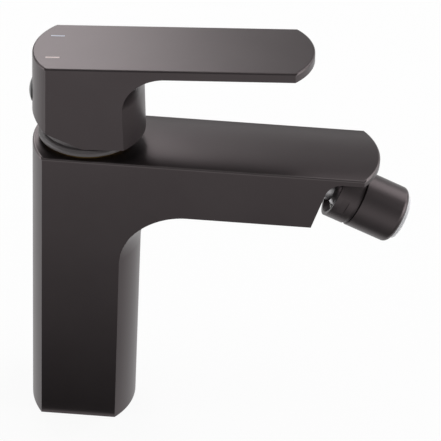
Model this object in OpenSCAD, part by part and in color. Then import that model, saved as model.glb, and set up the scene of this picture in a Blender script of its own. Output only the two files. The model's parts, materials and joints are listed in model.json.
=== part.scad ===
// Deck-mounted bidet mixer with a lever handle and a ball-jointed spray nozzle.
// Sizes are in millimetres. The origin is the mouth of the hose bore on the deck,
// +X points to the nozzle and +Z points up.

/* [Body] */
// Width across the flat sides
body_w = 45; // [44:0.5:50]
// Half the length of the column's flat sides
column_flat = 18; // [17:0.5:22]
// How far the curved back stands out past the flats
back_bulge = 6.8; // [6:0.1:9]
// How far the column's curved front stands out past the flats
column_bulge = 8.2; // [6:0.1:9]
// How far the spout's curved end stands out past its flats
spout_bulge = 7.3; // [6:0.1:9]
// Height of the body's top over the deck
body_h = 146.8; // [140:0.1:165]
// Height of the spout's side
spout_depth = 26.9; // [25:0.1:30]
// Reach of the spout's flat sides from the axis
spout_flat = 127.8; // [122:0.2:140]
// Radius of the hollow curve under the spout
cove_r = 26.5; // [18:0.5:30]
// Reach of the outlet face at the underside
outlet_x = 105.4; // [100:0.2:108]
// Lean of the outlet face from the vertical
outlet_tilt = 16; // [10:1:20]
// Thickness of the lip over the nozzle
lip_t = 3; // [2.5:0.1:4]
// Radius between the outlet face and the lip
lip_cove_r = 8; // [5:0.5:9]

/* [Waterways] */
// Radius of the bore that takes the hoses
hose_bore_r = 17; // [15:0.2:17.2]
// Height of the hose bore
hose_bore_h = 40; // [30:1:60]
// Radius of the threaded inlet holes
inlet_r = 4.5; // [4:0.1:5]
// Depth of the inlet threads
inlet_depth = 12; // [8:1:16]
// Distance of each inlet from the middle plane
inlet_y = 7; // [6.5:0.1:7.5]
// Distance of the inlets in front of the axis
inlet_x = 4.5; // [3.5:0.1:5]
// Radius of the waterways and of the cartridge ports
port_r = 3.2; // [2.8:0.1:3.4]
// Distance of the stud hole behind the axis
stud_x = 9.5; // [8:0.5:11]
// Radius of the threaded stud hole
stud_r = 3.4; // [2.5:0.1:4]
// Depth of the stud hole
stud_depth = 14; // [8:1:20]
// Wall left around the cored spout
spout_wall = 4; // [3:0.2:5]

/* [Cartridge] */
// Radius of the chamber in the body
chamber_r = 18.6; // [18.4:0.1:19]
// Radius of the thread for the retaining nut
nut_r = 19.5; // [19.3:0.1:20]
// Depth of the chamber from the body's top
chamber_depth = 34.3; // [34:0.1:37]
// Thickness of each ceramic disc
disc_t = 4; // [3.4:0.1:4]
// Radius of the fixed disc
fixed_disc_r = 15; // [14.4:0.1:15.1]
// Radius of the moving disc
moving_disc_r = 12.2; // [11.8:0.1:12.4]
// Height of the lever pivot over the body's top
pivot_rise = 3.7; // [3.2:0.1:4.5]
// Length of the stem below its pivot
stem_arm = 12; // [11:0.1:12.5]
// Greatest lift of the handle
lift_max = 20; // [15:1:20]

/* [Handle] */
// Width of the handle
handle_w = 42; // [41:0.5:44]
// Back end of the handle's flat sides behind the axis
hub_back = 16.7; // [16:0.1:19]
// Front end of the block's flat sides
hub_front = 16.3; // [16:0.1:20]
// Front end of the lever's flat sides
lever_front = 93; // [80:0.5:110]
// How far the curved ends of the handle stand out
handle_bulge = 8.3; // [6.5:0.1:9]
// Height of the handle's block
hub_h = 41.1; // [38:0.1:46]
// Thickness of the lever
lever_t = 4.4; // [3.6:0.1:6]
// Rise of the lever to the front
lever_rise = 3.3; // [2:0.1:4]
// Radius under the lever where it meets the block
lever_cove_r = 16; // [10:0.5:18]
// Slope of the block's underside behind the axis
bevel_angle = 22.4; // [22:0.1:26]
// Wall of the hollow block
handle_wall = 3; // [2.5:0.1:3.2]
// Roof of the hollow block
handle_roof = 8; // [6:0.5:12]
// Height of the screw and its plug under the handle's top
plug_drop = 23; // [20:0.5:25]
// Radius of the plug
plug_r = 6; // [5.4:0.1:7]

/* [Nozzle] */
// Radius of the nozzle
nozzle_r = 13.6; // [13.2:0.1:14]
// Slope of the nozzle below the level
nozzle_tilt = 23.2; // [18:0.1:26]
// Distance of the ball's centre from the outlet face
ball_reach = 14.5; // [14.2:0.1:16]
// Distance of the nipple's centre up the outlet face
nipple_up = 9.8; // [8.6:0.1:11]
// Radius of the ball
ball_r = 9.5; // [9.2:0.1:9.6]
// Length of the nozzle in front of the ball's centre
nozzle_len = 25.8; // [24:0.1:30]
// How far the aerator stands out of the nozzle
aerator_out = 1.8; // [1:0.1:3]
// Rounding of the nozzle's front rim
rim_r = 2.6; // [1.5:0.1:2.8]

/* [Hidden] */
$fn = 96;
lap = 1;
cut = 60;
running = 0.05;
loose = 0.1;
overlap = 0.01;
half_w = body_w / 2;
spout_under = body_h - spout_depth;
lip_z = body_h - lip_t;
chamber_z = body_h - chamber_depth;

// Heights in the cartridge, from the chamber's floor up
base_t = 5;
base_top = chamber_z + base_t;
fixed_top = base_top + disc_t;
moving_top = fixed_top + disc_t;
driver_t = 3;
driver_plate_top = moving_top + driver_t;
pivot_z = body_h + pivot_rise;
finger_z = pivot_z - stem_arm;
post_over = 3;
post_top = finger_z + post_over;
shoulder_rise = 25.8;
shoulder_z = chamber_z + shoulder_rise;
shoulder_t = 1.9;
drum_over = 4;
drum_top = pivot_z + drum_over;
stem_rise = 22.5;
stem_top = pivot_z + stem_rise;

// Cartridge base, with its pegs, seals and ports
peg_x = -3;
peg_y = 13.5;
peg_r = 1.9;
peg_h = 2.5;
rim_h = 3;
port_seal_w = 2.1;
port_seal_t = 1.5;
outlet_port_x = -8;
outlet_port_r = 3.6;
outlet_pocket_r = 4.4;
outlet_pocket_h = 3;

// Cartridge housing and its seal
housing_gap = 0.6;
housing_r = chamber_r - housing_gap;
housing_wall = 1.3;
housing_bore = housing_r - housing_wall;
neck_bore = 12.5;
neck_r = 14.4;
neck_over = 2.2;
seal_groove_w = 1.1;
seal_groove_h = 1.4;

// Moving disc, driver, carrier and stem
pocket_r = 6.5;
pocket_x = -4.5;
pocket_h = 2.4;
drive_pin_x = 6.5;
drive_pin_y = 7;
drive_pin_r = 1.5;
drive_pin_h = 1.8;
post_w = 12;
post_mouth_r = 4.9;
finger_r = 3;
finger_neck_r = 2.6;
finger_room = 0.2;
stem_w = 8;
block_w = 9;
block_under = 7;
block_over = 7.5;
pivot_r = 2;
pin_end = 1;
slide = stem_arm * sin(lift_max);
slide_room = 0.6;
swing_room = 0.9;

// Spout's cored waterway
core_side = 5.5;
core_set = 6;
core_end = 8;
window_w = 24;

// Seal groove in the base
groove_in = 18.2;
groove_out = 20.6;
groove_depth = 1.8;

// Heights over the body's top
nut_boss_r = 17;
nut_boss_h = 2.5;
ring_gap = 2.35;
ring_z = body_h + ring_gap;
ring_h = 2.65;
ring_top = ring_z + ring_h;
ring_r = 22.4;
ring_bevel = 1.2;
dome_gap = 0.3;
dome_wall = 1.1;
dome_h = 6.2;
dome_t = 1.2;

// Handle heights, with the block's bottom edge on the axis just over the cover ring
handle_gap = 0.4;
handle_bottom = ring_top + handle_gap;
handle_top = handle_bottom + hub_h;
handle_half = handle_w / 2;
handle_arc_r = arc_r(handle_half, handle_bulge);
cover_dome_r = handle_half - dome_wall - dome_gap;
boss_rise = 9;
boss_bottom = pivot_z + boss_rise;
boss_wall = 4;
plug_z = handle_top - plug_drop;
plug_sink = 1.3;
plug_seat = hub_back + handle_bulge - plug_sink;
plug_dome = 1.5;
plug_stem_r = 4.4;
plug_stem_h = 3.5;
screw_r = 2.4;
screw_len = 12;
key_r = 1.4;
key_depth = 3.5;
mark_len = 6.2;
mark_w = 1;
mark_t = 0.3;
mark_x = -18;
mark_y = 10;
mark_gap = 0.02;

// The ball joint
outlet_mid = [outlet_x + nipple_up * sin(outlet_tilt), spout_under + nipple_up * cos(outlet_tilt)];
ball_at = [
    outlet_mid[0] + ball_reach * cos(outlet_tilt),
    0,
    outlet_mid[1] - ball_reach * sin(outlet_tilt)
];
liner_in = ball_r + running;
liner_wall = 1.15;
liner_out = liner_in + liner_wall;
socket_r = liner_out + running;
collar_lip = -3.5;
collar_back = -6.9;
collar_front = 2.3;
collar_rim = 1.5;
spanner_flat_w = 26.2;
spanner_flat_h = 3.6;
spanner_flat_back = 2.4;
thread_back = 0.5;
thread_wall = 1.45;
thread_r = nozzle_r - thread_wall;
groove_w = 1.9;
housing_back = collar_front + groove_w;
seal_r = 9;
seal_set = 3;
seal_back = ball_r - seal_set;
seal_t = 2.5;
seal_front = seal_back + seal_t;
throat_r = 6.5;
throat_t = 2.2;
chamber_back = seal_front + throat_t;
housing_skin = 3;
aerator_r = nozzle_r - housing_skin;
washer_t = 1.6;
washer_in = 7.4;
plate_t = 1.5;
jet_r = 0.8;
jet_circle = 5.7;
insert_back = chamber_back + washer_t;
insert_front = nozzle_len + aerator_out;
insert_wall = 1.9;
insert_bore = aerator_r - insert_wall;
insert_ledge = 1;
insert_floor = 1.2;
screen_t = 1.6;
screen_sink = 1;
cell_pitch = 2.2;
cell_r = 0.85;
cell_rim = 1.5;
nipple_neck = 5.6;
nipple_bore = 3.6;
nipple_thread = 7;
nipple_thread_len = 9;
nipple_flange_r = 8.4;
nipple_flange_t = 0.8;
nipple_seal_r = 8.1;
nipple_seal_t = 1.6;
thread_room = 3;

// Radius of an arc over a chord of 2 * half that stands out by bulge
function arc_r(half, bulge) = (half * half + bulge * bulge) / (2 * bulge);

// End of the flats of a plan drawn a wall's thickness inside another one
function inner_flat(flat, half, bulge, wall) =
    flat + bulge - arc_r(half, bulge)
    + sqrt(pow(arc_r(half, bulge) - wall, 2) - pow(half - wall, 2));

// Bulge of that inner plan
function inner_bulge(flat, half, bulge, wall) =
    flat + bulge - wall - inner_flat(flat, half, bulge, wall);

// Everything behind a curved front end
module behind_front(flat, half, bulge) {
    middle = flat + bulge - arc_r(half, bulge);
    translate([middle, 0]) circle(arc_r(half, bulge), $fn = 240);
    translate([-5 * cut, -cut]) square([5 * cut + middle, 2 * cut]);
}

// Flat sides with a curved end at the front only
module front_plan(front, half, bulge) {
    intersection() {
        translate([-cut, -half]) square([cut + front + bulge + lap, 2 * half]);
        behind_front(front, half, bulge);
    }
}

// Flat sides with a curved end at the back and the front
module plan(back, back_bulge, front, front_bulge, half) {
    intersection() {
        front_plan(front, half, front_bulge);
        mirror([1, 0]) behind_front(back, half, back_bulge);
    }
}

// A side view in X and Z, extruded across the part
module across(width) {
    rotate([90, 0, 0]) translate([0, 0, -width / 2]) linear_extrude(width) children();
}

module tube(outer, inner, height) {
    difference() {
        cylinder(r = outer, h = height);
        translate([0, 0, -lap]) cylinder(r = inner, h = height + 2 * lap);
    }
}

// The hollow curve that joins a curved front face to a flat underside at height zero
module cove(flat, half, bulge, radius) {
    face_r = arc_r(half, bulge);
    middle = flat + bulge - face_r;
    intersection() {
        translate([middle, 0, 0]) rotate_extrude($fn = 240) difference() {
            translate([face_r - lap, -radius]) square([radius + lap, radius + lap]);
            translate([face_r + radius, -radius]) circle(radius, $fn = 120);
        }
        translate([0, -half, -radius]) cube([flat + bulge + radius + cut, 2 * half, radius + lap / 2]);
    }
}

// Things along the nipple's axis, with the outlet face at height zero
module on_outlet() {
    translate([outlet_mid[0], 0, outlet_mid[1]]) rotate([0, 90 + outlet_tilt, 0]) children();
}

// Things along the nozzle's axis, with the ball's centre at height zero
module on_nozzle() {
    translate(ball_at) rotate([0, 90 + nozzle_tilt, 0]) children();
}

// Things in the handle's own frame, with the lever's top at height zero
module on_handle() {
    translate([0, 0, handle_top]) rotate([0, -lever_rise, 0]) children();
}

module spout_profile() {
    rise = lip_z - spout_under;
    corner = [outlet_x + rise * tan(outlet_tilt), lip_z];
    middle_z = lip_z - lip_cove_r;
    middle_x = outlet_x + (lip_cove_r + sin(outlet_tilt) * (middle_z - spout_under)) / cos(outlet_tilt);
    face_end = [middle_x - lip_cove_r * cos(outlet_tilt), middle_z + lip_cove_r * sin(outlet_tilt)];
    back = -column_flat - back_bulge;
    front = spout_flat + spout_bulge + lap;
    difference() {
        polygon([
            [back, spout_under], [outlet_x, spout_under], face_end, [middle_x, middle_z],
            [middle_x, lip_z], [front, lip_z], [front, body_h], [back, body_h]
        ]);
        translate([middle_x, middle_z]) circle(lip_cove_r, $fn = 120);
    }
}

module body_outside() {
    linear_extrude(body_h) plan(column_flat, back_bulge, column_flat, column_bulge, half_w);
    intersection() {
        translate([0, 0, spout_under - lap])
            linear_extrude(spout_depth + 2 * lap)
                plan(column_flat, back_bulge, spout_flat, spout_bulge, half_w);
        across(body_w + 2 * lap) spout_profile();
    }
    translate([0, 0, spout_under]) cove(column_flat, half_w, column_bulge, cove_r);
}

module body_casting() {
    window_h = shoulder_z - shoulder_t - port_seal_t - spout_under - spout_wall;
    core_w = body_w - 2 * core_side;
    core_back = chamber_r + core_set;
    core_front = outlet_x - core_end;
    color("#4a4747") difference() {
        body_outside();
        // Chamber, nut thread and peg holes
        translate([0, 0, chamber_z]) cylinder(r = chamber_r, h = chamber_depth + lap);
        translate([0, 0, shoulder_z - 2 * loose]) cylinder(r = nut_r, h = chamber_depth);
        for (side = [-1, 1]) translate([peg_x, side * peg_y, chamber_z - peg_h - 2 * loose])
            cylinder(r = peg_r + loose, h = peg_h + lap);
        // Mixed water: pocket under the cartridge, window to the spout and its core
        translate([outlet_port_x, 0, chamber_z - outlet_pocket_h])
            cylinder(r = outlet_pocket_r, h = outlet_pocket_h + lap);
        translate([-chamber_r + lap, -outlet_pocket_r, chamber_z - outlet_pocket_h])
            cube([chamber_r + outlet_port_x - lap, 2 * outlet_pocket_r, outlet_pocket_h + lap]);
        translate([0, -window_w / 2, spout_under + spout_wall])
            cube([core_back + lap, window_w, window_h]);
        translate([core_back, -core_w / 2, spout_under + spout_wall])
            cube([core_front - core_back, core_w, spout_depth - 2 * spout_wall]);
        on_outlet() translate([0, 0, -nipple_thread_len - thread_room])
            cylinder(r = nipple_thread + loose, h = nipple_thread_len + thread_room + lap);
        on_outlet() translate([0, 0, -nipple_seal_t])
            cylinder(r = nipple_seal_r + loose, h = nipple_seal_t + lap);
        // Hose bore, inlets and stud hole
        translate([0, 0, -lap]) cylinder(r = hose_bore_r, h = hose_bore_h + lap);
        for (side = [-1, 1]) translate([inlet_x, side * inlet_y, hose_bore_h - lap]) {
            cylinder(r = inlet_r, h = inlet_depth + lap);
            cylinder(r = port_r, h = chamber_z - hose_bore_h + 2 * lap);
        }
        translate([-stud_x, 0, hose_bore_h - lap]) cylinder(r = stud_r, h = stud_depth + lap);
        translate([0, 0, -lap]) tube(groove_out, groove_in, groove_depth + lap);
    }
}

module base_seal() {
    color("#1c1c1c") tube(groove_out - loose, groove_in + loose, groove_depth);
}

module ports(bottom, height) {
    for (side = [-1, 1]) translate([inlet_x, side * inlet_y, bottom]) cylinder(r = port_r, h = height);
    translate([outlet_port_x, 0, bottom]) cylinder(r = outlet_port_r, h = height);
}

module cartridge_base() {
    color("#d8d6d0") difference() {
        union() {
            translate([0, 0, chamber_z]) cylinder(r = housing_r, h = base_top - chamber_z);
            translate([0, 0, base_top - lap]) tube(housing_bore - loose, fixed_disc_r + loose, rim_h + lap);
            for (side = [-1, 1]) translate([peg_x, side * peg_y, chamber_z - peg_h])
                cylinder(r = peg_r, h = peg_h + lap);
        }
        ports(chamber_z - lap, base_t + rim_h);
        for (side = [-1, 1]) translate([inlet_x, side * inlet_y, chamber_z - lap])
            cylinder(r = port_r + port_seal_w + loose, h = port_seal_t + lap);
    }
}

module port_seals() {
    color("#1c1c1c") for (side = [-1, 1])
        translate([inlet_x, side * inlet_y, chamber_z])
            tube(port_r + port_seal_w, port_r + 2 * loose, port_seal_t);
}

module fixed_disc() {
    color("#f0efea") difference() {
        translate([0, 0, base_top]) cylinder(r = fixed_disc_r, h = disc_t);
        ports(base_top - lap, disc_t + 2 * lap);
    }
}

module moving_disc() {
    color("#f0efea") difference() {
        translate([0, 0, fixed_top + running]) cylinder(r = moving_disc_r, h = disc_t - 2 * running);
        translate([pocket_x, 0, fixed_top - lap]) cylinder(r = pocket_r, h = pocket_h + lap);
        translate([0, 0, moving_top - drive_pin_h - 2 * loose])
            for (side = [-1, 1]) translate([drive_pin_x, side * drive_pin_y])
                cylinder(r = drive_pin_r + loose, h = drive_pin_h + lap);
    }
}

module disc_driver() {
    color("#d8d6d0") difference() {
        union() {
            translate([0, 0, moving_top]) cylinder(r = moving_disc_r - 2 * loose, h = driver_t - running);
            translate([-post_w / 2, -post_w / 2, moving_top]) cube([post_w, post_w, post_top - moving_top]);
            for (side = [-1, 1]) translate([drive_pin_x, side * drive_pin_y, moving_top - drive_pin_h])
                cylinder(r = drive_pin_r, h = drive_pin_h + lap);
        }
        translate([0, 0, finger_z - finger_r - lap])
            cylinder(r = finger_r + finger_room, h = finger_r + post_over + 2 * lap);
        translate([0, 0, finger_z]) cylinder(r1 = finger_r + finger_room, r2 = post_mouth_r, h = post_over);
        translate([0, 0, post_top - overlap]) cylinder(r = post_mouth_r, h = lap);
    }
}

module cartridge_housing() {
    color("#d8d6d0") difference() {
        union() {
            translate([0, 0, base_top]) cylinder(r = housing_r, h = shoulder_z - base_top);
            cylinder(r = neck_r, h = body_h + neck_over);
        }
        translate([0, 0, -lap]) cylinder(r = housing_bore, h = shoulder_z - shoulder_t + lap);
        cylinder(r = neck_bore, h = body_h + neck_over + lap);
        translate([0, 0, shoulder_z - seal_groove_h - 3 * loose])
            tube(housing_r + lap, housing_r - seal_groove_w, seal_groove_h);
    }
}

module cartridge_seal() {
    color("#1c1c1c") translate([0, 0, shoulder_z - seal_groove_h - 3 * loose + running])
        tube(chamber_r - running, housing_r - seal_groove_w + running, seal_groove_h - 2 * running);
}

module retaining_nut() {
    color("#b5914a") difference() {
        union() {
            translate([0, 0, shoulder_z]) cylinder(r = nut_r - loose, h = ring_z - shoulder_z);
            translate([0, 0, ring_z - lap]) cylinder(r = nut_boss_r, h = nut_boss_h + lap);
        }
        cylinder(r = neck_r + 2 * loose, h = ring_z + nut_boss_h + lap);
    }
}

module cover_ring() {
    bore = nut_boss_r + loose;
    color("#4a4747") rotate_extrude() {
        polygon([
            [bore, ring_z], [ring_r, ring_z], [ring_r, ring_top - ring_bevel],
            [ring_r - ring_bevel, ring_top], [bore, ring_top]
        ]);
        // Dome round the lever's pivot, inside the handle's hollow
        intersection() {
            translate([0, pivot_z]) difference() {
                circle(cover_dome_r);
                circle(cover_dome_r - dome_t);
            }
            translate([0, ring_top - lap / 2]) square([cover_dome_r + lap, dome_h + lap / 2]);
        }
    }
}

module cartridge_carrier() {
    stem_back = block_w / 2 + drum_over * sin(lift_max) + swing_room;
    stem_front = block_w / 2 + block_under * sin(lift_max) + 2 * swing_room;
    slot_h = post_top + 3 * loose - driver_plate_top + lap;
    plate_h = shoulder_z - shoulder_t - driver_plate_top - 2 * running;
    color("#2f3236") difference() {
        union() {
            translate([0, 0, driver_plate_top + running])
                cylinder(r = housing_bore - running, h = plate_h);
            translate([0, 0, driver_plate_top + lap])
                cylinder(r = neck_bore - running, h = drum_top - driver_plate_top - lap);
        }
        // Room for the driver's post to slide and for the stem to swing
        translate([-post_w / 2 - slide_room / 2, -post_w / 2 - running, driver_plate_top - lap])
            cube([post_w + slide + 1.5 * slide_room, post_w + 2 * running, slot_h]);
        translate([-stem_back, -block_w / 2 - running, post_top - lap])
            cube([stem_back + stem_front, block_w + 2 * running, drum_top - post_top + 2 * lap]);
        translate([0, 0, pivot_z]) rotate([90, 0, 0]) cylinder(r = pivot_r + overlap, h = cut, center = true);
    }
}

module pivot_pin() {
    color("#b9bcc0") translate([0, 0, pivot_z]) rotate([90, 0, 0])
        cylinder(r = pivot_r, h = 2 * (neck_bore - pin_end), center = true);
}

module stem() {
    color("#b9bcc0") difference() {
        union() {
            translate([-block_w / 2, -block_w / 2, pivot_z - block_under])
                cube([block_w, block_w, block_under + block_over]);
            translate([-stem_w / 2, -stem_w / 2, pivot_z]) cube([stem_w, stem_w, stem_top - pivot_z]);
            translate([0, 0, finger_z]) cylinder(r = finger_neck_r, h = stem_arm - block_under + lap);
            translate([0, 0, finger_z]) sphere(r = finger_r);
        }
        translate([0, 0, pivot_z]) rotate([90, 0, 0]) cylinder(r = pivot_r + running, h = cut, center = true);
    }
}

// Everything in front of the handle's upright curved back, a wall's thickness inside it
module ahead_of_back(wall) {
    middle = handle_arc_r - hub_back - handle_bulge;
    translate([0, 0, handle_bottom - cut]) linear_extrude(hub_h + 2 * cut) {
        translate([middle, 0]) circle(handle_arc_r - wall, $fn = 240);
        translate([middle, -cut]) square([lever_front + cut, 2 * cut]);
    }
}

// The handle's solid shape before it is hollowed
module handle_outside() {
    difference() {
        intersection() {
            on_handle() {
                translate([0, 0, -lever_t]) linear_extrude(lever_t)
                    front_plan(lever_front, handle_half, handle_bulge);
                translate([0, 0, -hub_h]) linear_extrude(hub_h - lever_t / 2)
                    front_plan(hub_front, handle_half, handle_bulge);
                translate([0, 0, -lever_t]) cove(hub_front, handle_half, handle_bulge, lever_cove_r);
            }
            ahead_of_back(0);
        }
        across(handle_w + 2 * lap) translate([0, handle_top - hub_h / cos(lever_rise)]) polygon([
            [10, -10 * tan(bevel_angle)], [-cut, cut * tan(bevel_angle)], [-cut, -cut], [10, -cut]
        ]);
    }
}

// The hollow in the block, less the boss that holds the stem
module handle_hollow() {
    front_flat = inner_flat(hub_front, handle_half, handle_bulge, handle_wall);
    front_bulge = inner_bulge(hub_front, handle_half, handle_bulge, handle_wall);
    boss_half = stem_w / 2 + boss_wall;
    post_half = plug_stem_r + boss_wall / 2;
    difference() {
        intersection() {
            on_handle() translate([0, 0, -hub_h - cut]) linear_extrude(hub_h + cut - handle_roof)
                front_plan(front_flat, handle_half - handle_wall, front_bulge);
            ahead_of_back(handle_wall);
        }
        translate([-boss_half, -boss_half, boss_bottom]) cube([2 * boss_half, 2 * boss_half, hub_h]);
        translate([-hub_back - handle_bulge, -post_half, plug_z - plug_stem_r - lap])
            cube([hub_back + handle_bulge, 2 * post_half, hub_h]);
    }
}

// A mark's bar on the lever's top, with a gap round it and height over it
module mark_bar(side, gap, over) {
    on_handle() translate([mark_x - gap, side * mark_y - mark_w / 2 - gap, -mark_t])
        cube([mark_len + 2 * gap, mark_w + 2 * gap, mark_t + over]);
}

module handle() {
    color("#4a4747") difference() {
        handle_outside();
        handle_hollow();
        // Room in the block's sides for the cover ring's dome
        translate([0, 0, pivot_z]) difference() {
            sphere(r = cover_dome_r + dome_gap);
            cube([cut, 2 * (handle_half - handle_wall - lap), cut], center = true);
        }
        translate([-stem_w / 2 - running, -stem_w / 2 - running, boss_bottom - lap])
            cube([stem_w + 2 * running, stem_w + 2 * running, stem_top + lap / 2 - boss_bottom + lap]);
        translate([0, 0, plug_z]) rotate([0, -90, 0]) {
            cylinder(r = screw_r + running, h = cut);
            translate([0, 0, plug_seat - plug_stem_h - 1.5 * lap]) cylinder(r = plug_stem_r + loose, h = cut);
            translate([0, 0, plug_seat]) cylinder(r = plug_r + running, h = cut);
        }
        for (side = [-1, 1]) mark_bar(side, mark_gap, lap);
    }
}

module grub_screw() {
    color("#9a9da1") translate([-stem_w / 2 - running, 0, plug_z]) rotate([0, -90, 0]) difference() {
        cylinder(r = screw_r, h = screw_len);
        translate([0, 0, screw_len - key_depth]) cylinder(r = key_r, h = key_depth + lap, $fn = 6);
    }
}

module index_plug() {
    dome_r = arc_r(plug_r, plug_dome);
    color("#161616") translate([0, 0, plug_z]) rotate([0, -90, 0]) {
        translate([0, 0, plug_seat]) cylinder(r = plug_r, h = plug_sink);
        translate([0, 0, plug_seat - plug_stem_h]) cylinder(r = plug_stem_r, h = plug_stem_h + lap / 2);
        intersection() {
            translate([0, 0, plug_seat + plug_sink + plug_dome - dome_r]) sphere(r = dome_r);
            translate([0, 0, plug_seat + lap]) cylinder(r = plug_r, h = plug_dome + 2 * lap);
        }
    }
}

module hot_mark() {
    color("#b9676b") mark_bar(-1, 0, 0);
}

module cold_mark() {
    color("#7d8ea6") mark_bar(1, 0, 0);
}

module ball_nipple() {
    color("#d9dadb") on_outlet() difference() {
        union() {
            translate([0, 0, -nipple_thread_len]) cylinder(r = nipple_thread, h = nipple_thread_len + lap);
            cylinder(r = nipple_flange_r, h = nipple_flange_t);
            cylinder(r = nipple_neck, h = ball_reach);
            translate([0, 0, ball_reach]) sphere(r = ball_r);
        }
        translate([0, 0, -nipple_thread_len - lap])
            cylinder(r = nipple_bore, h = nipple_thread_len + ball_reach + ball_r + 2 * lap);
    }
}

module nipple_seal() {
    color("#1c1c1c") on_outlet() translate([0, 0, -nipple_seal_t])
        tube(nipple_seal_r, nipple_thread + loose, nipple_seal_t - running);
}

module ball_liner() {
    front = liner_in * cos(73);
    back = liner_in * cos(62);
    color("#e6e4dd") on_nozzle() difference() {
        intersection() {
            sphere(r = liner_out);
            translate([0, 0, -back]) cylinder(r = cut, h = front + back);
        }
        sphere(r = liner_in);
    }
}

module ball_seal() {
    lip_r = sqrt(pow(ball_r + 2 * loose, 2) - seal_back * seal_back);
    color("#1c1c1c") on_nozzle() translate([0, 0, seal_back]) tube(seal_r - running, lip_r, seal_t);
}

module swivel_collar() {
    lip_r = sqrt(socket_r * socket_r - collar_lip * collar_lip);
    color("#4a4747") on_nozzle() difference() {
        translate([0, 0, collar_back]) cylinder(r = nozzle_r, h = collar_front - collar_back);
        translate([0, 0, collar_back])
            cylinder(r1 = nozzle_r - collar_rim, r2 = lip_r, h = collar_lip - collar_back);
        translate([0, 0, collar_back - lap]) cylinder(r = nozzle_r - collar_rim, h = lap + overlap);
        sphere(r = socket_r);
        translate([0, 0, thread_back]) cylinder(r = thread_r, h = collar_front);
        // Flats for a spanner
        for (turn = [0, 180]) rotate([0, 0, turn])
            translate([-cut / 2, spanner_flat_w / 2, collar_back + spanner_flat_back])
                cube([cut, nozzle_r, spanner_flat_h]);
    }
}

module nozzle_housing() {
    color("#4a4747") on_nozzle() difference() {
        rotate_extrude() difference() {
            union() {
                translate([0, thread_back + running])
                    square([thread_r - running, housing_back - thread_back]);
                translate([0, housing_back]) square([nozzle_r, nozzle_len - housing_back - rim_r]);
                translate([0, housing_back]) square([nozzle_r - rim_r, nozzle_len - housing_back]);
                translate([nozzle_r - rim_r, nozzle_len - rim_r]) circle(rim_r);
            }
            translate([-cut, 0]) square([cut, cut]);
        }
        sphere(r = socket_r);
        cylinder(r = seal_r, h = seal_front + running);
        cylinder(r = throat_r, h = nozzle_len);
        translate([0, 0, chamber_back]) cylinder(r = aerator_r + running, h = nozzle_len);
    }
}

module aerator_washer() {
    color("#1c1c1c") on_nozzle() translate([0, 0, chamber_back]) tube(aerator_r, washer_in, washer_t);
}

module jet_plate() {
    color("#c9cbcc") on_nozzle() translate([0, 0, insert_back + insert_floor]) difference() {
        cylinder(r = insert_bore - running, h = plate_t);
        for (turn = [0 : 45 : 315]) rotate([0, 0, turn])
            translate([jet_circle, 0, -lap]) cylinder(r = jet_r, h = plate_t + 2 * lap, $fn = 24);
    }
}

module aerator_insert() {
    color("#c9cbcc") on_nozzle() difference() {
        translate([0, 0, insert_back]) cylinder(r = aerator_r, h = insert_front - insert_back);
        translate([0, 0, insert_back + insert_floor]) cylinder(r = insert_bore, h = insert_front);
        translate([0, 0, insert_back - lap])
            cylinder(r = insert_bore - insert_ledge, h = insert_floor + 2 * lap);
    }
}

module aerator_screen() {
    rows = ceil(insert_bore / cell_pitch) - 1;
    color("#b4b6b8") on_nozzle() translate([0, 0, insert_front - screen_sink - screen_t]) difference() {
        cylinder(r = insert_bore - running, h = screen_t);
        for (row = [-rows : rows]) for (place = [-rows : rows]) {
            across_row = place * cell_pitch + (row % 2 == 0 ? 0 : cell_pitch / 2);
            along = row * cell_pitch * cos(30);
            if (norm([across_row, along]) < insert_bore - cell_rim)
                translate([along, across_row, -lap]) cylinder(r = cell_r, h = screen_t + 2 * lap, $fn = 6);
        }
    }
}

body_casting();
base_seal();
cartridge_base();
port_seals();
fixed_disc();
cartridge_housing();
cartridge_seal();
retaining_nut();
cover_ring();
ball_nipple();
nipple_seal();
cartridge_carrier();
pivot_pin();
moving_disc();
disc_driver();
stem();
handle();
grub_screw();
index_plug();
hot_mark();
cold_mark();
ball_liner();
ball_seal();
swivel_collar();
nozzle_housing();
aerator_washer();
jet_plate();
aerator_insert();
aerator_screen();
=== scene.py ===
"""Looks of a single-lever bidet mixer: satin graphite castings, a ball-jointed nozzle, a white studio."""

import json
import math

import bmesh
import bpy
from mathutils import Matrix, Vector


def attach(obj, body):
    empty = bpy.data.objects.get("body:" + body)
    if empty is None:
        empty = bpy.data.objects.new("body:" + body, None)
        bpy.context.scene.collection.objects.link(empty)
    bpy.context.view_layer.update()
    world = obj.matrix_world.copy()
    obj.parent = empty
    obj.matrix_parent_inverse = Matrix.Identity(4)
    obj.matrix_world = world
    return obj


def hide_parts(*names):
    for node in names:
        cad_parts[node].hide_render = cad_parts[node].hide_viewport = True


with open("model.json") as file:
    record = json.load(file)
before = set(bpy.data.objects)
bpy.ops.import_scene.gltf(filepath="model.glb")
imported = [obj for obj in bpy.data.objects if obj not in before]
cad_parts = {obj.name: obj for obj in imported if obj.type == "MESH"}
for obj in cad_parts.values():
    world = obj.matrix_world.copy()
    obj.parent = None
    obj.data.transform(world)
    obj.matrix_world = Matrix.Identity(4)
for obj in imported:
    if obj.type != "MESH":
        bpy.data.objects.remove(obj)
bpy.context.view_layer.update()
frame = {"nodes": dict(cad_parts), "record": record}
MM = 0.001

# Camera: a long lens above the near side, turned a little about its own axis
CAMERA_TARGET = Vector((63.62, 0.0, 105.29)) * MM
CAMERA_DISTANCE = 942.8 * MM
CAMERA_AZIMUTH = 1.07
CAMERA_ELEVATION = 33.84
CAMERA_ROLL = 3.49
CAMERA_LENS = 163.5
SENSOR_WIDTH = 36.0

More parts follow.
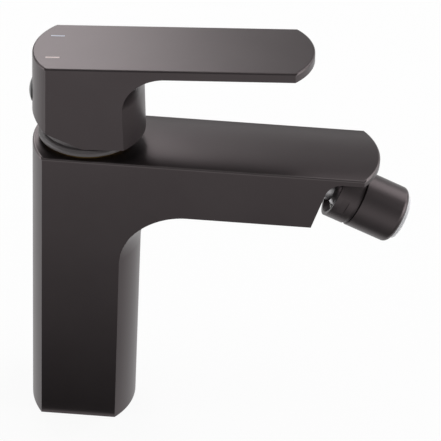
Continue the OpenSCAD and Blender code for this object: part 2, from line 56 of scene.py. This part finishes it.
# Rounding of the cast and turned edges: radii, steps, and which edges count as sharp or long
TOP_EDGE = 0.9 * MM
TOP_EDGE_STEPS = 5
SIDE_EDGE = 0.4 * MM
SIDE_EDGE_STEPS = 3
TURNED_EDGE = 0.35 * MM
TURNED_EDGE_STEPS = 3
FINE_EDGE = 0.2 * MM
FINE_EDGE_STEPS = 2
LONG_EDGE = 2.0 * MM
SHARP_ANGLE = 28.0
WELD_DISTANCE = 0.004 * MM
FLAT_ANGLE = 0.4
FLAT_WEIGHT = 90

# Finishes: grain against cloudiness, the two colours' places, relief, and faces that count as looking up
GRAIN_SHARE = 0.45
DARK_UP_TO = 0.3
LIGHT_FROM = 0.7
RELIEF_DEPTH = 0.1 * MM
LOOKING_UP_FROM = 0.9
LOOKING_UP_FULLY = 0.99

# Studio: levels of light round the object, the floor, and the graded card in front
FLOOR_REACH = 3.0
FLOOR_COLOUR = (0.85, 0.85, 0.85, 1.0)
FLOOR_ROUGHNESS = 0.9
FLOOR_GLOW_SHARE = 0.92
ROOM_FROM = -0.6
BACKDROP_FROM = 0.2
BACKDROP_LOW_LEVEL = 0.83
BACKDROP_HIGH_LEVEL = 0.15
BACKDROP_LOW_TOP = 0.15
BACKDROP_HIGH_FROM = 0.85
WALL_LEVEL = 0.75
CEILING_LEVEL = 0.2
WALL_TOP = 0.1
CEILING_FROM = 0.45
FLAG_LEFT = -500.0 * MM
FLAG_RIGHT = 600.0 * MM
FLAG_NEAR = -900.0 * MM
FLAG_FAR = -24.0 * MM
FLAG_LIGHT = -350.0 * MM
FLAG_HEIGHT = 0.5 * MM
FLAG_DARK_LEVEL = 0.12
FLAG_LIGHT_LEVEL = 0.9

# Places used by the pieces, in the part's frame
BODY_TOP = 146.8 * MM
BODY_HALF = 22.5 * MM
BODY_CROWN = 0.1
BODY_ROLL = 0.22
COLUMN_FLAT = 18.0 * MM
CHAMBER_RADIUS = 20.5 * MM
OUTLET_RADIUS = 10.5 * MM
HANDLE_HALF = 21.0 * MM
HANDLE_TOP = 193.3 * MM
LEVER_RISE = 3.3
HUB_FLAT = 14.0 * MM
HUB_INSIDE = 29.5 * MM
HUB_BACK_CENTRE = 5.7 * MM
HUB_FRONT_CENTRE = -4.0 * MM
PLUG_HEIGHT = 170.3 * MM
PLUG_RECESS = 8.0 * MM
ON_FACE = 0.1 * MM
NOZZLE_TILT = 23.2
BALL_CENTRE = Vector((122.0395, 0.0, 125.3236)) * MM
OUTLET_TILT = 16.0
OUTLET_MIDDLE = Vector((108.1012, 0.0, 129.3204)) * MM
BALL_REACH = 14.5 * MM
BALL_RADIUS = 9.5 * MM
NIPPLE_NECK = 5.6 * MM
NIPPLE_BORE = 3.6 * MM
NIPPLE_THREAD = 7.0 * MM
NIPPLE_THREAD_LENGTH = 9.0 * MM
NIPPLE_FLANGE = 8.4 * MM
NIPPLE_FLANGE_THICKNESS = 0.8 * MM
SCREEN_MIDDLE = 25.8 * MM
SCREEN_THICKNESS = 1.6 * MM
SCREEN_RADIUS = 8.65 * MM
SCREEN_INNER = 7.4 * MM
CELL_PITCH = 1.5 * MM
CELL_WALL = 0.3 * MM
CELL_CORNER = 0.58
TURNED_STEPS = 96
BALL_STEPS = 48


def feed(tree, socket, value):
    """Sets a socket to a number, or links another node's output to it."""
    if isinstance(value, (int, float)):
        socket.default_value = value
    else:
        tree.links.new(value, socket)


def calculate(tree, operation, *values):
    """The output of a Math node in the tree."""
    node = tree.nodes.new("ShaderNodeMath")
    node.operation = operation
    for socket, value in zip(node.inputs, values):
        feed(tree, socket, value)
    return node.outputs["Value"]


def fade_between(tree, value, start, end, first=0.0, last=1.0):
    """A level that goes from first to last as the value goes from start to end."""
    node = tree.nodes.new("ShaderNodeMapRange")
    for name, amount in zip(
        ("Value", "From Min", "From Max", "To Min", "To Max"), (value, start, end, first, last)
    ):
        feed(tree, node.inputs[name], amount)
    return node.outputs["Result"]


def add_object(name, data):
    """An object in the scene, at the origin."""
    added = bpy.data.objects.new(name, data)
    bpy.context.scene.collection.objects.link(added)
    return added


def satin_grain_group():
    """Fine blasted grain and slow cloudiness, shared by the metals and the mouldings."""
    group = bpy.data.node_groups.new("satin_grain", "ShaderNodeTree")
    for name in ("Grain Size", "Cloud Size", "Roughness", "Spread"):
        group.interface.new_socket(name, in_out="INPUT", socket_type="NodeSocketFloat")
    for name in ("Shade", "Roughness", "Height"):
        group.interface.new_socket(name, in_out="OUTPUT", socket_type="NodeSocketFloat")
    nodes = group.nodes
    links = group.links
    inputs = nodes.new("NodeGroupInput")
    outputs = nodes.new("NodeGroupOutput")
    place = nodes.new("ShaderNodeTexCoord")

    def noise_at(size_name, detail):
        noise = nodes.new("ShaderNodeTexNoise")
        noise.inputs["Detail"].default_value = detail
        links.new(place.outputs["Object"], noise.inputs["Vector"])
        links.new(calculate(group, "DIVIDE", 1.0, inputs.outputs[size_name]), noise.inputs["Scale"])
        return noise.outputs["Fac"]

    grain = noise_at("Grain Size", 2.0)
    cloud = noise_at("Cloud Size", 3.0)
    mixed = nodes.new("ShaderNodeMix")
    mixed.inputs["Factor"].default_value = GRAIN_SHARE
    links.new(cloud, mixed.inputs["A"])
    links.new(grain, mixed.inputs["B"])
    links.new(mixed.outputs["Result"], outputs.inputs["Shade"])
    links.new(grain, outputs.inputs["Height"])
    centred = calculate(group, "SUBTRACT", mixed.outputs["Result"], 0.5)
    rough = calculate(group, "MULTIPLY_ADD", centred, inputs.outputs["Spread"], inputs.outputs["Roughness"])
    links.new(rough, outputs.inputs["Roughness"])
    return group


def rolled_top_group():
    """Tilts the faces that look up, more and more towards the two long edges, like a softly rolled top."""
    group = bpy.data.node_groups.new("rolled_top", "ShaderNodeTree")
    for name in ("Half Width", "Crown", "Roll"):
        group.interface.new_socket(name, in_out="INPUT", socket_type="NodeSocketFloat")
    group.interface.new_socket("Normal", in_out="OUTPUT", socket_type="NodeSocketVector")
    nodes = group.nodes
    links = group.links
    inputs = nodes.new("NodeGroupInput")
    outputs = nodes.new("NodeGroupOutput")
    place = nodes.new("ShaderNodeTexCoord")
    across = nodes.new("ShaderNodeSeparateXYZ")
    links.new(place.outputs["Object"], across.inputs["Vector"])
    surface = nodes.new("ShaderNodeNewGeometry")
    facing = nodes.new("ShaderNodeSeparateXYZ")
    links.new(surface.outputs["Normal"], facing.inputs["Vector"])

    share = calculate(group, "DIVIDE", across.outputs["Y"], inputs.outputs["Half Width"])
    rolled = calculate(group, "MULTIPLY", calculate(group, "ABSOLUTE", share), inputs.outputs["Roll"])
    tilted = calculate(group, "MULTIPLY", share, calculate(group, "ADD", rolled, inputs.outputs["Crown"]))
    upward = fade_between(group, facing.outputs["Z"], LOOKING_UP_FROM, LOOKING_UP_FULLY)
    lean = nodes.new("ShaderNodeCombineXYZ")
    links.new(calculate(group, "MULTIPLY", tilted, upward), lean.inputs["Y"])
    leaning = nodes.new("ShaderNodeVectorMath")
    leaning.operation = "ADD"
    links.new(surface.outputs["Normal"], leaning.inputs[0])
    links.new(lean.outputs["Vector"], leaning.inputs[1])
    even = nodes.new("ShaderNodeVectorMath")
    even.operation = "NORMALIZE"
    links.new(leaning.outputs["Vector"], even.inputs[0])
    links.new(even.outputs["Vector"], outputs.inputs["Normal"])
    return group


SATIN_GRAIN = satin_grain_group()
ROLLED_TOP = rolled_top_group()


def finish_material(
    name, dark, light, roughness, metallic=0.0, spread=0.06, grain=0.4, cloud=30.0, bump=0.02
):
    """A surface that wanders between two close colours, with grained roughness and a fine bump."""
    material = bpy.data.materials.new(name)
    material.use_nodes = True
    nodes = material.node_tree.nodes
    links = material.node_tree.links
    shader = nodes["Principled BSDF"]
    shader.inputs["Metallic"].default_value = metallic
    grains = nodes.new("ShaderNodeGroup")
    grains.node_tree = SATIN_GRAIN
    grains.inputs["Grain Size"].default_value = grain * MM
    grains.inputs["Cloud Size"].default_value = cloud * MM
    grains.inputs["Roughness"].default_value = roughness
    grains.inputs["Spread"].default_value = spread
    ramp = nodes.new("ShaderNodeValToRGB")
    ramp.color_ramp.elements[0].position = DARK_UP_TO
    ramp.color_ramp.elements[0].color = (*dark, 1.0)
    ramp.color_ramp.elements[1].position = LIGHT_FROM
    ramp.color_ramp.elements[1].color = (*light, 1.0)
    links.new(grains.outputs["Shade"], ramp.inputs["Fac"])
    links.new(ramp.outputs["Color"], shader.inputs["Base Color"])
    links.new(grains.outputs["Roughness"], shader.inputs["Roughness"])
    relief = nodes.new("ShaderNodeBump")
    relief.inputs["Strength"].default_value = bump
    relief.inputs["Distance"].default_value = RELIEF_DEPTH
    links.new(grains.outputs["Height"], relief.inputs["Height"])
    links.new(relief.outputs["Normal"], shader.inputs["Normal"])
    return material


FINISHES = {
    "satin_graphite": dict(
        dark=(0.072, 0.061, 0.063), light=(0.084, 0.072, 0.074),
        roughness=0.38, metallic=1.0, grain=0.3, bump=0.03,
    ),
    "brass": dict(dark=(0.50, 0.33, 0.12), light=(0.66, 0.46, 0.19), roughness=0.14, metallic=1.0),
    "steel": dict(dark=(0.50, 0.50, 0.51), light=(0.62, 0.62, 0.63), roughness=0.32, metallic=1.0),
    "chrome": dict(
        dark=(0.42, 0.41, 0.42), light=(0.48, 0.47, 0.48),
        roughness=0.3, metallic=1.0, spread=0.02, bump=0.0,
    ),
    "ceramic": dict(dark=(0.82, 0.81, 0.77), light=(0.88, 0.87, 0.84), roughness=0.22),
    "white_plastic": dict(dark=(0.68, 0.67, 0.64), light=(0.76, 0.75, 0.72), roughness=0.45),
    "dark_plastic": dict(dark=(0.080, 0.071, 0.073), light=(0.102, 0.092, 0.094), roughness=0.45),
    "grey_plastic": dict(dark=(0.74, 0.74, 0.76), light=(0.82, 0.82, 0.84), roughness=0.4),
    "rubber": dict(dark=(0.014, 0.014, 0.014), light=(0.026, 0.026, 0.026), roughness=0.65),
    "plug_black": dict(dark=(0.006, 0.006, 0.006), light=(0.011, 0.011, 0.011), roughness=0.3),
    "hot_enamel": dict(dark=(0.54, 0.42, 0.40), light=(0.62, 0.49, 0.47), roughness=0.4),
    "cold_enamel": dict(dark=(0.36, 0.38, 0.46), light=(0.42, 0.45, 0.53), roughness=0.4),
}
MATERIALS = {slot: finish_material(slot, **finish) for slot, finish in FINISHES.items()}

# The castings' finish made paler for the body's top edges: a painted highlight along those edges
EDGE_HIGHLIGHT_FINISH = dict(FINISHES["satin_graphite"], dark=(0.115, 0.100, 0.102), light=(0.130, 0.114, 0.116))
PAINTED_EDGE_HIGHLIGHT = finish_material("satin_graphite_painted_highlight", **EDGE_HIGHLIGHT_FINISH)


def rolled_top_material():
    """The castings' finish on a body whose flat top rolls off towards its long edges."""
    material = finish_material("satin_graphite_body", **FINISHES["satin_graphite"])
    nodes = material.node_tree.nodes
    rolled = nodes.new("ShaderNodeGroup")
    rolled.node_tree = ROLLED_TOP
    rolled.inputs["Half Width"].default_value = BODY_HALF
    rolled.inputs["Crown"].default_value = BODY_CROWN
    rolled.inputs["Roll"].default_value = BODY_ROLL
    material.node_tree.links.new(rolled.outputs["Normal"], nodes["Bump"].inputs["Normal"])
    return material


def body_of_node(node):
    """The moving body that a CAD node belongs to."""
    for body, members in frame["record"]["behaviour"]["bodies"].items():
        if node in members:
            return body


def slot_of_node(node):
    """The record's material slot of a CAD node."""
    for entry in frame["record"]["subparts"]:
        if entry["node"] == node:
            return entry["material_slot"]


def stand_for(piece, node):
    """The piece rides with its CAD node's body and is shown in place of that node."""
    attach(piece, body_of_node(node))
    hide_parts(node)


def anywhere(point, length):
    """Every sharp edge."""
    return True


def body_outside(point):
    """On the body's outside, away from the chamber, the waterways and the outlet."""
    by_outlet = (point - OUTLET_MIDDLE).length < OUTLET_RADIUS
    on_side = abs(point.y) > BODY_HALF - ON_FACE
    on_end = abs(point.x) > COLUMN_FLAT and math.hypot(point.x, point.y) > CHAMBER_RADIUS
    return (on_side or on_end) and not by_outlet


def body_top(point, length):
    """Round the top of the spout and the column."""
    return body_outside(point) and point.z > BODY_TOP - ON_FACE


def body_sides(point, length):
    """Straight edges of the body under its top."""
    return abs(point.y) > BODY_HALF - ON_FACE and point.z < BODY_TOP - ON_FACE and length > LONG_EDGE


def handle_outside(point):
    """On the handle's outside, away from its hollow, the marks and the plug."""
    on_side = abs(point.y) > HANDLE_HALF - ON_FACE
    on_back = point.x < -HUB_FLAT and math.hypot(point.x - HUB_BACK_CENTRE, point.y) > HUB_INSIDE
    on_front = point.x > HUB_FLAT and math.hypot(point.x - HUB_FRONT_CENTRE, point.y) > HUB_INSIDE
    by_plug = point.x < 0 and math.hypot(point.y, point.z - PLUG_HEIGHT) < PLUG_RECESS
    return (on_side or on_back or on_front) and not by_plug


def above_handle(point):
    """Height of a point over the lever's sloping top."""
    return point.z - HANDLE_TOP - point.x * math.tan(math.radians(LEVER_RISE))


def handle_top(point, length):
    """Round the lever's sloping top."""
    return handle_outside(point) and abs(above_handle(point)) < ON_FACE


def handle_sides(point, length):
    """Straight edges of the handle under its top."""
    return handle_outside(point) and above_handle(point) < -ON_FACE and length > LONG_EDGE


def rounded_piece(node, *roundings):
    """A copy of a CAD node, its facets merged, with sets of edges (name, radius, steps, where) rounded."""
    mesh = bpy.data.meshes.new(node + "_finished")
    shape = bmesh.new()
    shape.from_mesh(frame["nodes"][node].data)
    bmesh.ops.remove_doubles(shape, verts=shape.verts, dist=WELD_DISTANCE)
    bmesh.ops.dissolve_limit(
        shape, angle_limit=math.radians(FLAT_ANGLE), verts=shape.verts, edges=shape.edges
    )
    for name, radius, segments, where in roundings:
        weights = shape.edges.layers.float.new(name)
        for edge in shape.edges:
            middle = (edge.verts[0].co + edge.verts[1].co) / 2
            sharp = edge.is_manifold and edge.calc_face_angle() > math.radians(SHARP_ANGLE)
            if sharp and where(middle, edge.calc_length()):
                edge[weights] = 1.0
    for face in shape.faces:
        face.smooth = True
    shape.to_mesh(mesh)
    shape.free()
    mesh.set_sharp_from_angle(angle=math.radians(SHARP_ANGLE))
    mesh.materials.append(MATERIALS[slot_of_node(node)])
    piece = add_object(node + "_finished", mesh)
    for name, radius, segments, where in roundings:
        bevel = piece.modifiers.new(name, "BEVEL")
        bevel.limit_method = "WEIGHT"
        bevel.edge_weight = name
        bevel.width = radius
        bevel.segments = segments
        bevel.use_clamp_overlap = True
    flats = piece.modifiers.new("flats_stay_flat", "WEIGHTED_NORMAL")
    flats.mode = "FACE_AREA_WITH_ANGLE"
    flats.weight = FLAT_WEIGHT
    flats.keep_sharp = True
    stand_for(piece, node)
    return piece


body = rounded_piece(
    "body_casting",
    ("top_edge", TOP_EDGE, TOP_EDGE_STEPS, body_top),
    ("side_edge", SIDE_EDGE, SIDE_EDGE_STEPS, body_sides),
)
body.material_slots[0].material = rolled_top_material()
# The body's top-edge rounding takes the paler finish, a painted highlight along its top edges
body.data.materials.append(PAINTED_EDGE_HIGHLIGHT)
body.modifiers["top_edge"].material = 1
rounded_piece(
    "handle",
    ("top_edge", TOP_EDGE, TOP_EDGE_STEPS, handle_top),
    ("side_edge", SIDE_EDGE, SIDE_EDGE_STEPS, handle_sides),
)
for turned_node in ("cover_ring", "swivel_collar", "aerator_insert"):
    rounded_piece(turned_node, ("turned_edge", TURNED_EDGE, TURNED_EDGE_STEPS, anywhere))
for fine_node in ("nozzle_housing", "index_plug", "retaining_nut"):
    rounded_piece(fine_node, ("fine_edge", FINE_EDGE, FINE_EDGE_STEPS, anywhere))


def turned_mesh(name, profile):
    """A closed outline of (radius, height) points, turned about the Z axis."""
    mesh = bpy.data.meshes.new(name)
    shape = bmesh.new()
    rings = []
    for step in range(TURNED_STEPS):
        angle = 2 * math.pi * step / TURNED_STEPS
        across = Vector((math.cos(angle), math.sin(angle), 0.0))
        places = [across * radius + Vector((0.0, 0.0, height)) for radius, height in profile]
        rings.append([shape.verts.new(place) for place in places])
    for step in range(TURNED_STEPS):
        here = rings[step]
        there = rings[(step + 1) % TURNED_STEPS]
        for point in range(len(profile)):
            after = (point + 1) % len(profile)
            shape.faces.new((here[point], there[point], there[after], here[after]))
    bmesh.ops.recalc_face_normals(shape, faces=shape.faces)
    for face in shape.faces:
        face.smooth = True
    shape.to_mesh(mesh)
    shape.free()
    mesh.set_sharp_from_angle(angle=math.radians(SHARP_ANGLE))
    return mesh


def along_axis(tilt, start):
    """Puts a piece made along Z on an axis that leaves start and slopes down to the front."""
    return Matrix.Translation(start) @ Matrix.Rotation(math.radians(90 + tilt), 4, "Y")


def ball_nipple_piece():
    """The chromed ball on its threaded nipple, bored through for the water."""
    first = math.asin(NIPPLE_NECK / BALL_RADIUS) - math.pi
    last = -math.asin(NIPPLE_BORE / BALL_RADIUS)
    outline = [
        (NIPPLE_BORE, -NIPPLE_THREAD_LENGTH),
        (NIPPLE_THREAD, -NIPPLE_THREAD_LENGTH),
        (NIPPLE_THREAD, 0.0),
        (NIPPLE_FLANGE, 0.0),
        (NIPPLE_FLANGE, NIPPLE_FLANGE_THICKNESS),
        (NIPPLE_NECK, NIPPLE_FLANGE_THICKNESS),
    ]
    for step in range(BALL_STEPS + 1):
        angle = first + (last - first) * step / BALL_STEPS
        outline.append((-BALL_RADIUS * math.sin(angle), BALL_REACH + BALL_RADIUS * math.cos(angle)))
    mesh = turned_mesh("ball_nipple_finished", outline)
    mesh.transform(along_axis(OUTLET_TILT, OUTLET_MIDDLE))
    mesh.materials.append(MATERIALS["chrome"])
    piece = add_object("ball_nipple_finished", mesh)
    stand_for(piece, "ball_nipple")


ball_nipple_piece()


def aerator_cells_tree(material):
    """Six-sided cells on a staggered grid, kept inside a round edge."""
    tree = bpy.data.node_groups.new("aerator_cells", "GeometryNodeTree")
    tree.interface.new_socket("Geometry", in_out="OUTPUT", socket_type="NodeSocketGeometry")
    for name in ("Radius", "Pitch", "Wall", "Thickness"):
        tree.interface.new_socket(name, in_out="INPUT", socket_type="NodeSocketFloat")
    nodes = tree.nodes
    links = tree.links
    inputs = nodes.new("NodeGroupInput")
    outputs = nodes.new("NodeGroupOutput")

    def vector(x, y):
        node = nodes.new("ShaderNodeCombineXYZ")
        links.new(x, node.inputs["X"])
        links.new(y, node.inputs["Y"])
        return node.outputs["Vector"]

    radius = inputs.outputs["Radius"]
    pitch = inputs.outputs["Pitch"]
    wall = inputs.outputs["Wall"]
    row = calculate(tree, "MULTIPLY", pitch, math.cos(math.radians(30)))
    reach = calculate(tree, "CEIL", calculate(tree, "DIVIDE", radius, pitch))
    count = calculate(tree, "MULTIPLY_ADD", reach, 2.0, 1.0)
    grid = nodes.new("GeometryNodeMeshGrid")
    rows_long = calculate(tree, "MULTIPLY", calculate(tree, "MULTIPLY", reach, 4.0), row)
    cells_wide = calculate(tree, "MULTIPLY", calculate(tree, "MULTIPLY", reach, 2.0), pitch)
    links.new(rows_long, grid.inputs["Size X"])
    links.new(cells_wide, grid.inputs["Size Y"])
    links.new(count, grid.inputs["Vertices X"])
    links.new(count, grid.inputs["Vertices Y"])
    stagger = nodes.new("GeometryNodeTransform")
    links.new(grid.outputs["Mesh"], stagger.inputs["Geometry"])
    links.new(vector(row, calculate(tree, "MULTIPLY", pitch, 0.5)), stagger.inputs["Translation"])
    both = nodes.new("GeometryNodeJoinGeometry")
    links.new(grid.outputs["Mesh"], both.inputs["Geometry"])
    links.new(stagger.outputs["Geometry"], both.inputs["Geometry"])

    place = nodes.new("GeometryNodeInputPosition")
    away = nodes.new("ShaderNodeVectorMath")
    away.operation = "LENGTH"
    links.new(place.outputs["Position"], away.inputs[0])
    outside = nodes.new("FunctionNodeCompare")
    outside.operation = "GREATER_THAN"
    links.new(away.outputs["Value"], outside.inputs["A"])
    links.new(calculate(tree, "MULTIPLY_ADD", pitch, -CELL_CORNER, radius), outside.inputs["B"])
    kept = nodes.new("GeometryNodeDeleteGeometry")
    links.new(both.outputs["Geometry"], kept.inputs["Geometry"])
    links.new(outside.outputs["Result"], kept.inputs["Selection"])

    path = nodes.new("GeometryNodeCurvePrimitiveCircle")
    path.inputs["Resolution"].default_value = 6
    links.new(calculate(tree, "MULTIPLY", pitch, CELL_CORNER), path.inputs["Radius"])
    section = nodes.new("GeometryNodeCurvePrimitiveQuadrilateral")
    links.new(wall, section.inputs["Width"])
    links.new(inputs.outputs["Thickness"], section.inputs["Height"])
    cell = nodes.new("GeometryNodeCurveToMesh")
    links.new(path.outputs["Curve"], cell.inputs["Curve"])
    links.new(section.outputs["Curve"], cell.inputs["Profile Curve"])
    placed = nodes.new("GeometryNodeInstanceOnPoints")
    links.new(kept.outputs["Geometry"], placed.inputs["Points"])
    links.new(cell.outputs["Mesh"], placed.inputs["Instance"])
    realized = nodes.new("GeometryNodeRealizeInstances")
    links.new(placed.outputs["Instances"], realized.inputs["Geometry"])
    painted = nodes.new("GeometryNodeSetMaterial")
    painted.inputs["Material"].default_value = material
    links.new(realized.outputs["Geometry"], painted.inputs["Geometry"])
    links.new(painted.outputs["Geometry"], outputs.inputs["Geometry"])
    return tree


def aerator_screen_piece():
    """The honeycomb in the nozzle's mouth, square to the nozzle's axis, with a round rim."""
    material = MATERIALS["grey_plastic"]
    tree = aerator_cells_tree(material)
    maker = add_object("cell_maker", bpy.data.meshes.new("cell_maker"))
    modifier = maker.modifiers.new("cells", "NODES")
    modifier.node_group = tree
    sizes = {"Radius": SCREEN_INNER, "Pitch": CELL_PITCH, "Wall": CELL_WALL, "Thickness": SCREEN_THICKNESS}
    for item in tree.interface.items_tree:
        if item.in_out == "INPUT":
            modifier[item.identifier] = sizes[item.name]
    evaluated = maker.evaluated_get(bpy.context.evaluated_depsgraph_get())
    cells = bpy.data.meshes.new_from_object(evaluated)
    bpy.data.objects.remove(maker)
    half = SCREEN_THICKNESS / 2
    rim = turned_mesh("aerator_rim", [
        (SCREEN_INNER, -half), (SCREEN_RADIUS, -half), (SCREEN_RADIUS, half), (SCREEN_INNER, half),
    ])
    rim.materials.append(material)
    shape = bmesh.new()
    shape.from_mesh(cells)
    shape.from_mesh(rim)
    mesh = bpy.data.meshes.new("aerator_cells")
    shape.to_mesh(mesh)
    shape.free()
    mesh.materials.append(material)
    mesh.transform(along_axis(NOZZLE_TILT, BALL_CENTRE) @ Matrix.Translation((0, 0, SCREEN_MIDDLE)))
    piece = add_object("aerator_cells", mesh)
    stand_for(piece, "aerator_screen")


aerator_screen_piece()

for name, node in frame["nodes"].items():
    node.material_slots[0].material = MATERIALS[slot_of_node(name)]


def floor_material():
    """White floor that the camera and reflections see as the background, with the object's soft shadow."""
    material = bpy.data.materials.new("studio_floor")
    material.use_nodes = True
    tree = material.node_tree
    nodes = tree.nodes
    links = tree.links
    output = nodes["Material Output"]
    matte = nodes["Principled BSDF"]
    matte.inputs["Base Color"].default_value = FLOOR_COLOUR
    matte.inputs["Roughness"].default_value = FLOOR_ROUGHNESS
    glow = nodes.new("ShaderNodeEmission")
    glow.inputs["Strength"].default_value = 1.0
    path = nodes.new("ShaderNodeLightPath")
    rays = path.outputs
    mirrored = calculate(tree, "MAXIMUM", rays["Is Glossy Ray"], rays["Is Transmission Ray"])
    seen = calculate(tree, "MAXIMUM", rays["Is Camera Ray"], mirrored)
    mix = nodes.new("ShaderNodeMixShader")
    links.new(calculate(tree, "MULTIPLY", seen, FLOOR_GLOW_SHARE), mix.inputs[0])
    links.new(matte.outputs["BSDF"], mix.inputs[1])
    links.new(glow.outputs["Emission"], mix.inputs[2])
    links.new(mix.outputs["Shader"], output.inputs["Surface"])
    return material


def make_floor():
    """A wide floor under the object."""
    mesh = bpy.data.meshes.new("floor")
    corners = [(-1, -1), (1, -1), (1, 1), (-1, 1)]
    mesh.from_pydata([(x * FLOOR_REACH, y * FLOOR_REACH, 0.0) for x, y in corners], [], [(0, 1, 2, 3)])
    mesh.materials.append(floor_material())
    floor = add_object("floor", mesh)


def make_world():
    """A white backdrop behind the object, and pale walls under a dim ceiling on the camera's side."""
    world = bpy.data.worlds.new("studio")
    bpy.context.scene.world = world
    world.use_nodes = True
    tree = world.node_tree
    nodes = tree.nodes
    links = tree.links
    background = nodes["Background"]
    background.inputs["Color"].default_value = (1.0, 1.0, 1.0, 1.0)
    place = nodes.new("ShaderNodeTexCoord")
    apart = nodes.new("ShaderNodeSeparateXYZ")
    links.new(place.outputs["Generated"], apart.inputs["Vector"])
    height = apart.outputs["Z"]
    room = fade_between(tree, height, WALL_TOP, CEILING_FROM, WALL_LEVEL, CEILING_LEVEL)
    backdrop = fade_between(
        tree, height, BACKDROP_LOW_TOP, BACKDROP_HIGH_FROM, BACKDROP_LOW_LEVEL, BACKDROP_HIGH_LEVEL
    )
    around = fade_between(tree, apart.outputs["Y"], ROOM_FROM, BACKDROP_FROM, room, backdrop)
    path = nodes.new("ShaderNodeLightPath")
    level = calculate(tree, "MAXIMUM", around, path.outputs["Is Camera Ray"])
    links.new(level, background.inputs["Strength"])


def flag_material():
    """Grey of the card in front, dark by the object and lighter away from it."""
    material = bpy.data.materials.new("flag_card")
    material.use_nodes = True
    tree = material.node_tree
    nodes = tree.nodes
    links = tree.links
    nodes.remove(nodes["Principled BSDF"])
    place = nodes.new("ShaderNodeTexCoord")
    apart = nodes.new("ShaderNodeSeparateXYZ")
    links.new(place.outputs["Object"], apart.inputs["Vector"])
    level = fade_between(tree, apart.outputs["Y"], FLAG_FAR, FLAG_LIGHT, FLAG_DARK_LEVEL, FLAG_LIGHT_LEVEL)
    glow = nodes.new("ShaderNodeEmission")
    links.new(level, glow.inputs["Strength"])
    links.new(glow.outputs["Emission"], nodes["Material Output"].inputs["Surface"])
    return material


def make_flag():
    """A graded grey card on the floor in front, which only the reflections see."""
    mesh = bpy.data.meshes.new("flag_card")
    corners = [
        (FLAG_LEFT, FLAG_NEAR), (FLAG_RIGHT, FLAG_NEAR), (FLAG_RIGHT, FLAG_FAR), (FLAG_LEFT, FLAG_FAR),
    ]
    mesh.from_pydata([(x, y, FLAG_HEIGHT) for x, y in corners], [], [(0, 1, 2, 3)])
    mesh.materials.append(flag_material())
    flag = add_object("flag_card", mesh)
    flag.visible_camera = False
    flag.visible_shadow = False
    flag.visible_diffuse = False


def area_lamp(name, place, target, size, watts):
    """A softbox at a place, turned to its target."""
    lamp = bpy.data.lights.new(name, "AREA")
    lamp.shape = "RECTANGLE"
    lamp.size = size[0]
    lamp.size_y = size[1]
    lamp.energy = watts
    holder = add_object(name, lamp)
    holder.location = place
    holder.rotation_euler = (Vector(target) - Vector(place)).to_track_quat("-Z", "Y").to_euler()


def make_camera():
    """The camera, looking at its target from its azimuth and elevation."""
    azimuth = math.radians(CAMERA_AZIMUTH)
    elevation = math.radians(CAMERA_ELEVATION)
    back = Vector((
        math.sin(azimuth) * math.cos(elevation),
        -math.cos(azimuth) * math.cos(elevation),
        math.sin(elevation),
    ))
    right = Vector((math.cos(azimuth), math.sin(azimuth), 0.0))
    turn = Matrix((right, back.cross(right), back)).transposed().to_4x4()
    lens = bpy.data.cameras.new("camera")
    lens.lens = CAMERA_LENS
    lens.sensor_width = SENSOR_WIDTH
    lens.sensor_fit = "HORIZONTAL"
    lens.clip_start = 0.01
    camera = add_object("camera", lens)
    place = Matrix.Translation(CAMERA_TARGET + back * CAMERA_DISTANCE)
    camera.matrix_world = place @ turn @ Matrix.Rotation(math.radians(CAMERA_ROLL), 4, "Z")
    bpy.context.scene.camera = camera


make_floor()
make_flag()
make_world()
area_lamp("softbox_back", (-0.21, 0.6, 0.62), (0.0, 0.0, 0.17), (0.36, 0.36), 1.9)
area_lamp("softbox_above", (0.08, 0.12, 1.1), (0.08, 0.12, 0.15), (0.6, 0.8), 1.6)
area_lamp("softbox_back_right", (0.8, 0.5, 0.8), (0.13, 0.0, 0.13), (0.62, 0.9), 4.0)
area_lamp("softbox_left", (-0.9, -0.1, 0.25), (0.0, 0.0, 0.1), (0.7, 0.7), 4.3)
area_lamp("softbox_right", (1.0, -0.1, 0.25), (0.0, 0.0, 0.1), (0.7, 0.7), 5.0)
make_camera()
bpy.context.scene.view_settings.view_transform = "Standard"
